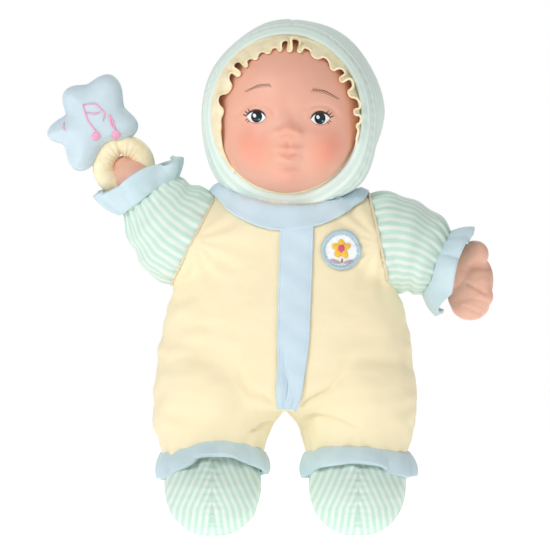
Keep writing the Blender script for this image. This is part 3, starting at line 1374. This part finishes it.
polar = np.concatenate([np.linspace(0.004, 1.15, 250), np.linspace(1.16, 2.0, 50)])
turns = circle(420)
p, t = np.meshgrid(polar, turns, indexing="ij")
out = np.stack([np.sin(p) * np.cos(t), -np.cos(p), np.sin(p) * np.sin(t)], -1)
fullness = 1 + 0.045 * np.sin(p) ** 2 * np.maximum(0, -np.sin(t)) * np.cos(t) ** 2
face_points = FACE + out * FACE_RADII * fullness[..., None]
push = out / FACE_RADII
push /= np.linalg.norm(push, axis=-1)[..., None]
push = 0.55 * push + 0.45 * np.array([0.0, -1.0, 0.0])
relief = face_relief(face_points[..., 0], face_points[..., 2]) * smooth_step(-out[..., 1], 0.0, 0.35)
face_points = face_points + push * relief[..., None]
face = make_grid("face", face_points, "face", wrap_columns=True, caps=True)
settle(face, "head", "vinyl_skin", "face_shell")
FACE_SURFACE = Surface(face)

FRILL_BUNCHES = ((28, 15, 1.0), (84, 17, 1.25), (140, 16, 1.0), (0, 13, 0.7), (166, 9, 0.6), (56, 9, 0.3))


def frill_edge(turn):
    """The radius of the frill's free edge, without its folds."""
    degrees = np.degrees((turn + math.pi / 2) % (2 * math.pi)) - 90
    return np.interp(degrees, (-90, -60, -30, 0, 25, 60, 90, 120, 155, 180, 210, 240, 270),
                     (50.5, 50.5, 49.6, 44.0, 40.6, 38.4, 38.0, 38.2, 38.8, 40.8, 46.6, 50.5, 50.5))


turns = circle(900)
degrees = np.degrees((turns + math.pi / 2) % (2 * math.pi)) - 90
bunched = sum(weight * bell(degrees, place, width) for place, width, weight in FRILL_BUNCHES)
upper_part = smooth_step(degrees, -30, 5) * (1 - smooth_step(degrees, 176, 200))
liveliness = upper_part * (0.25 + bunched) * (1 + 0.3 * np.sin(13 * turns + 1.0))
shown = smooth_step(degrees, -48, -12) * (1 - smooth_step(degrees, 192, 222))
phase = 28 * turns + 2.3 * np.sin(3 * turns + 0.8) + 1.1 * np.sin(7 * turns + 2.0)
rows = []
for share in np.linspace(0, 1, 26):
    edge = frill_edge(turns)
    base = 48.7
    depth = share ** 0.9
    fold = liveliness * (0.25 + 0.75 * share)
    swing = 2.7 * fold * share * (0.8 + np.cos(phase))
    slide = turns + 0.0165 * fold * np.sin(2 * phase)
    bow = 1.8 * np.sin(math.pi * share)
    radius = base + (edge - base) * depth + swing
    forward = -27.5 - (12.0 * share + bow) * shown + 6.0 * share * (1 - shown)
    forward = forward - 2.4 * fold * share**0.5 * (1 + np.sin(phase + 0.5))
    row = rim_ring(slide, radius, forward) + (0.4, 0.0, 0.0)
    for point in row:
        skin = FACE_SURFACE.front(point[0], point[2])
        if skin is not None:
            clear = skin[1] - 1.1
            point[1] = clear - math.log1p(math.exp(min(40.0, clear - point[1])))
    rows.append(row)
frill = make_grid("face_frill", np.array(rows), "satin", wrap_columns=True)
thicken(frill, 1.3)
settle(frill, "head", "yellow_satin", "face_ruffle")

lining_rows = []
for share in np.linspace(0, 1, 8):
    radius = 47.6 - 8.0 * share
    depth = -22.0 + 8.0 * share**1.5
    lining_rows.append(RIM_CENTRE + as_points(radius * np.cos(turns), depth, radius * np.sin(turns)))
lining = make_grid("hood_lining", np.array(lining_rows), "hood", wrap_columns=True)
give(lining, "stripe", np.full(8 * len(turns), 0.3))
thicken(lining, 0.8)
settle(lining, "head", "mint_stripe")


MATERIALS["eye_white"] = paint("eye_white", srgb(250, 250, 252), srgb(232, 236, 242), 2.5, 0.22)
MATERIALS["lash"] = paint("lash_paint", srgb(40, 24, 22), srgb(62, 36, 30), 0.6, 0.4)
MATERIALS["brow"] = paint("brow_paint", srgb(128, 92, 76), srgb(158, 116, 96), 0.6, 0.5)
MATERIALS["lid_line"] = paint("lid_line_paint", srgb(186, 118, 96), srgb(206, 140, 116), 0.8, 0.5)
MATERIALS["glint"] = paint("glint_paint", srgb(236, 240, 242), srgb(214, 222, 228), 1.0, 0.15)
MATERIALS["blue_glint"] = paint("blue_glint_paint", srgb(120, 170, 200), srgb(90, 140, 176), 1.0, 0.2)


# The reach of each lash from its root, and the root's place from the middle of the eye.
UPPER_LASHES = ((1.6, 1.9, 3.6, 3.2), (2.2, 1.6, 4.9, 2.2), (2.4, 0.8, 6.0, 1.0))
LOWER_LASHES = ((1.2, -1.2, 4.5, -2.3), (1.5, -0.8, 5.5, -1.4))


def painted(made):
    """Paint on the face rides with the head."""
    return settle(made, "head", "vinyl_skin")


def almond(angle):
    """An eye's outline: its radius at an angle, pointed at both corners."""
    c, s = abs(math.cos(angle)), abs(math.sin(angle))
    power = 1.75 if math.sin(angle) > 0 else 1.6
    return (c**power + s**power) ** (-1 / power)


for side, (ex, ez) in zip(("right", "left"), EYES):
    sign = -1 if side == "right" else 1
    iris = (ex - 0.1 * sign, ez + 0.1)
    middle = FACE_SURFACE.front(*iris)
    MATERIALS[f"iris_{side}"] = iris_paint(f"iris_{side}", middle, 6.0, srgb(8, 8, 10), srgb(16, 22, 24),
                                           srgb(30, 62, 56))
    pieces = (
        (f"eye_white_{side}", (ex, ez), (6.2, 4.1), 0.10, "eye_white", almond, 3 * sign),
        (f"iris_{side}", iris, (3.5, 3.75), 0.22, f"iris_{side}", None, 0),
        (f"eye_glint_{side}", (iris[0] - 1.3, iris[1] + 0.7), (1.05, 1.25), 0.36, "glint", None, 20),
        (f"eye_spark_{side}", (iris[0] + 1.7, iris[1] - 1.9), (0.6, 0.6), 0.36, "blue_glint", None, 0),
    )
    for name, centre, radii, lift, material, shape, turn in pieces:
        painted(sewn_disc(name, FACE_SURFACE, centre, radii, lift, material, 0.05, turn, shape))
    outer = ex + 6.5 * sign
    inner_x = ex - 6.1 * sign
    lid = [(inner_x, ez - 0.4), (ex - 4.4 * sign, ez + 2.3), (ex - 1.8 * sign, ez + 3.9),
           (ex + 1.3 * sign, ez + 4.1), (ex + 4.4 * sign, ez + 2.8), (outer, ez + 0.4)]
    strokes = [sewn_stroke("lash", FACE_SURFACE, lid, 1.35, 0.34, "lash", 0.05)]
    for reach_x, reach_z, start_x, start_z in UPPER_LASHES:
        start = (ex + start_x * sign, ez + start_z)
        end = (start[0] + reach_x * sign, start[1] + reach_z)
        bend = ((start[0] + end[0]) / 2 + 0.3 * sign, (start[1] + end[1]) / 2 - 0.3)
        strokes.append(sewn_stroke("lash", FACE_SURFACE, [start, bend, end], 0.6, 0.34, "lash", 0.04))
    for reach_x, reach_z, start_x, start_z in LOWER_LASHES:
        start = (ex + start_x * sign, ez + start_z)
        end = (start[0] + reach_x * sign, start[1] + reach_z)
        strokes.append(sewn_stroke("lash", FACE_SURFACE, [start, end], 0.5, 0.3, "lash", 0.04))
    painted(join(strokes, f"lashes_{side}"))
    line = [(inner_x, ez - 0.7), (ex - 3.1 * sign, ez - 3.6), (ex, ez - 4.2), (ex + 3.3 * sign, ez - 3.5),
            (outer, ez + 0.1)]
    painted(sewn_stroke(f"lid_line_{side}", FACE_SURFACE, line, 0.55, 0.26, "lid_line", 0.03))

# Brows: short slanting strokes, fuller at the inner end.
BROWS = {
    "right": ((-9.4, 284.4), (-16.5, 284.8), (-24.2, 281.2)),
    "left": ((17.2, 281.6), (25.0, 281.2), (33.0, 276.6)),
}
for side, (first, middle, last) in BROWS.items():
    strokes = [sewn_stroke("brow", FACE_SURFACE, [first, middle, last], 0.5, 0.16, "brow", 0.03)]
    for step in range(12):
        share = step / 11
        x = (1 - share) ** 2 * first[0] + 2 * share * (1 - share) * middle[0] + share**2 * last[0]
        z = (1 - share) ** 2 * first[1] + 2 * share * (1 - share) * middle[1] + share**2 * last[1]
        away = 1 if side == "left" else -1
        tall = 2.1 * (1 - 0.65 * share)
        start = (x - 0.9 * away, z - tall * 0.75)
        end = (x + 1.3 * away, z + tall * 0.7 * (1 - 1.3 * share))
        strokes.append(sewn_stroke("brow", FACE_SURFACE, [start, end], 0.42, 0.17, "brow", 0.03))
    painted(join(strokes, f"brow_{side}"))


# ---------------------------------------------------------------- parts under the cloth

INNER = {
    "stuffing": ("torso_fill", "head_fill", "arm_fill_right", "arm_fill_left", "leg_fill_right",
                 "leg_fill_left"),
    "tape": ("loop_tape", "hook_tape"),
}
MATERIALS["case"] = moulded("case_plastic", srgb(240, 240, 236))
MATERIALS["button"] = moulded("button_plastic", srgb(240, 150, 170), 0.25, 0.9)
MATERIALS["knob"] = moulded("knob_plastic", srgb(46, 46, 50), 0.4)
MATERIALS["capsule"] = moulded("capsule_plastic", srgb(240, 240, 240), 0.3, 0.9)
MATERIALS["bead"] = moulded("bead_plastic", srgb(230, 70, 84), 0.25, 0.9)
MATERIALS["board"] = moulded("board_mask", srgb(26, 96, 54), 0.35, 0.4)
MATERIALS["cone"] = moulded("speaker_paper", srgb(44, 44, 46), 0.85, 0.4)
MATERIALS["lead"] = moulded("lead_insulation", srgb(190, 40, 42), 0.4, 0.5)
MATERIALS["steel"] = plated("plated_steel", (0.72, 0.72, 0.74, 1.0))
INNER.update({
    "case": ("module_front_case", "module_rear_case", "battery_door"),
    "button": ("press_button",),
    "knob": ("switch_knob",),
    "capsule": ("rattle_capsule",),
    "bead": ("rattle_balls",),
    "board": ("circuit_board",),
    "cone": ("speaker_cone",),
    "lead": ("wire_leads",),
    "steel": ("case_screws", "door_screw", "button_cells", "battery_contacts", "speaker_basket",
              "speaker_magnet", "button_spring"),
})
for material, nodes in INNER.items():
    for node in nodes:
        cad = bpy.data.objects[node]
        cad.data.materials.clear()
        cad.data.materials.append(MATERIALS[material])


# ---------------------------------------------------------------- light, floor and camera

scene = bpy.context.scene
bpy.ops.mesh.primitive_plane_add(size=8)
floor = bpy.context.object
floor.name = "floor"
floor_paint = Material("floor_paint", roughness=0.7)
floor_paint.colour(floor_paint.mix(floor_paint.noise(40), srgb(252, 252, 252), srgb(248, 248, 248)))
floor_paint.shader.inputs["Emission Color"].default_value = (1.0, 1.0, 1.0, 1.0)
floor_paint.shader.inputs["Emission Strength"].default_value = 0.58
floor.data.materials.append(floor_paint.material)

world = bpy.data.worlds.new("studio")
world.use_nodes = True
world_nodes = world.node_tree.nodes
world_nodes["Background"].inputs["Color"].default_value = (1.0, 1.0, 1.0, 1.0)
world_nodes["Background"].inputs["Strength"].default_value = 0.43
backdrop = world_nodes.new("ShaderNodeBackground")
backdrop.inputs["Color"].default_value = (1.0, 1.0, 1.0, 1.0)
backdrop.inputs["Strength"].default_value = 1.0
seen = world_nodes.new("ShaderNodeLightPath")
choice = world_nodes.new("ShaderNodeMixShader")
world.node_tree.links.new(seen.outputs["Is Camera Ray"], choice.inputs[0])
world.node_tree.links.new(world_nodes["Background"].outputs[0], choice.inputs[1])
world.node_tree.links.new(backdrop.outputs[0], choice.inputs[2])
world.node_tree.links.new(choice.outputs[0], world_nodes["World Output"].inputs["Surface"])
scene.world = world
scene.view_settings.view_transform = "Standard"

LIGHTS = (
    ("key", (-0.65, -1.0, 0.85), 6.5, 0.45),
    ("fill", (0.9, -0.8, 0.35), 0.7, 0.7),
    ("rim", (0.2, 0.9, 0.8), 2.5, 0.5),
)
for name, place, power, size in LIGHTS:
    lamp = bpy.data.lights.new(name, "AREA")
    lamp.energy = power
    lamp.size = size
    holder = bpy.data.objects.new(name, lamp)
    scene.collection.objects.link(holder)
    holder.location = place
    holder.rotation_euler = (Vector((0.0, 0.0, 0.17)) - Vector(place)).to_track_quat("-Z", "Y").to_euler()

camera_data = bpy.data.cameras.new("camera")
camera = bpy.data.objects.new("camera", camera_data)
scene.collection.objects.link(camera)
CAMERA_AIM = metre((-6.4, 0, 165.1))
CAMERA_DISTANCE = 3.0
camera.location = CAMERA_AIM + np.array([0.0, -CAMERA_DISTANCE, 0.0])
camera.rotation_euler = (math.radians(90), 0, 0)
camera_data.sensor_width = 36.0
camera_data.lens = 36.0 * CAMERA_DISTANCE / 0.352
scene.camera = camera
